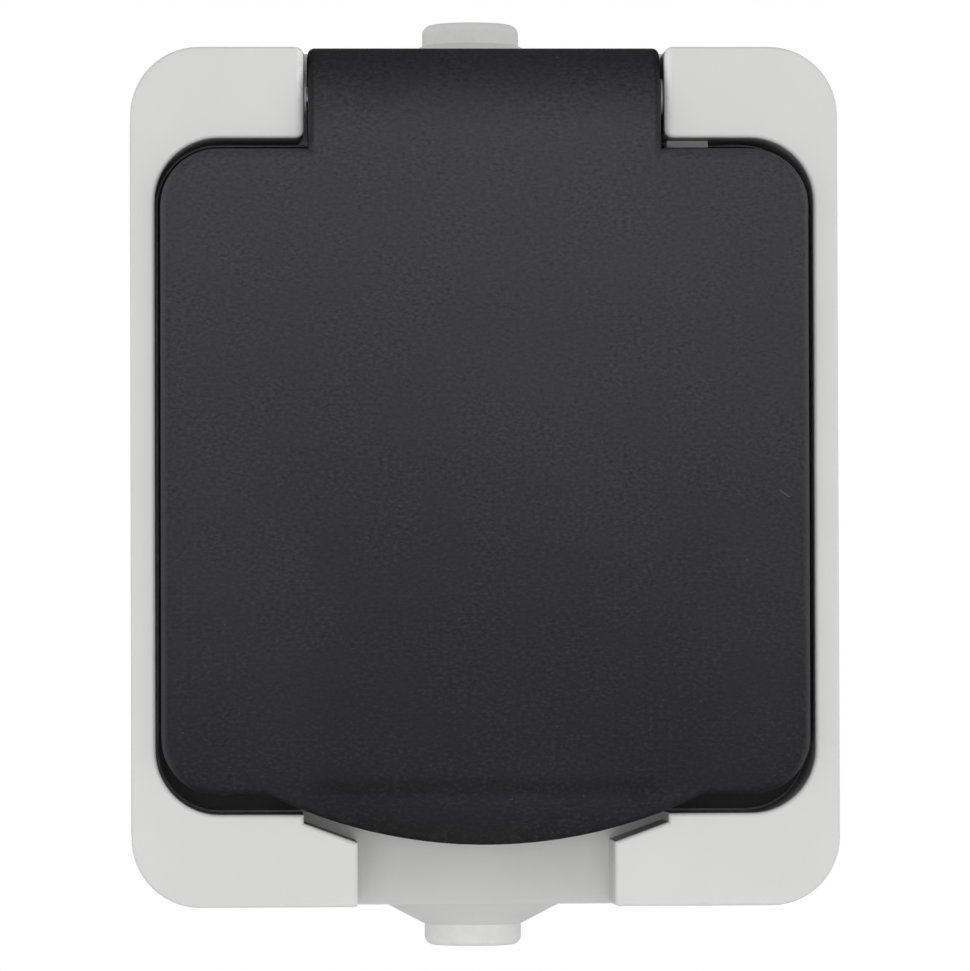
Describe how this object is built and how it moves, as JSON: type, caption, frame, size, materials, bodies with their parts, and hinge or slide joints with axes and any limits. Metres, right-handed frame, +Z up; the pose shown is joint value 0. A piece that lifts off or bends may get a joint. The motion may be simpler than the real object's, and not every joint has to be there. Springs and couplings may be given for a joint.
{
  "type": "surface-mounted weatherproof wall socket",
  "caption": "Surface-mounted weatherproof wall socket: light box and cover, round plug well with side earth clips, and a dark sprung lid that swings up on a steel pin.",
  "frame": {"origin": "centre of the back face that lies on the wall", "axes": "+Z up along the long side, +Y into the wall, the lid faces -Y, +X to the right"},
  "size_m": [0.0706, 0.054, 0.0956],
  "materials": {
    "housing": "smooth light grey moulded plastic",
    "lid": "anthracite moulded plastic with a fine grain",
    "insert": "dark moulded plastic",
    "grommet": "soft light grey rubber",
    "seal": "black seal rubber",
    "carrier": "dark heat-proof moulding",
    "brass": "pressed brass",
    "steel": "zinc-plated steel"
  },
  "bodies": {
    "root": {"back_box": "housing", "front_cover": "housing", "box_seal": "seal", "cover_screws": "steel", "socket_insert": "insert", "contact_face": "insert", "well_seal": "seal", "well_screw": "steel", "contact_carrier": "carrier", "carrier_cover": "carrier", "live_contact": "brass", "neutral_contact": "brass", "contact_clips": "steel", "terminal_screws": "steel", "carrier_screws": "steel", "earth_strap": "brass", "earth_clamp": "steel", "earth_screw": "steel", "top_grommet": "grommet", "bottom_grommet": "grommet", "hinge_pin": "steel", "hinge_spring": "steel"},
    "lid": {"lid": "lid", "lid_gasket": "seal"}
  },
  "joints": [
    {"name": "lid_hinge", "type": "hinge", "parent": "root", "child": "lid", "pos_m": [0, -0.0495, 0.0377], "axis": [-1, 0, 0], "range_deg": [0, 105], "stiffness_Nm_per_rad": 0.02, "springref_deg": -34.38, "deforming": ["hinge_spring"]}
  ]
}
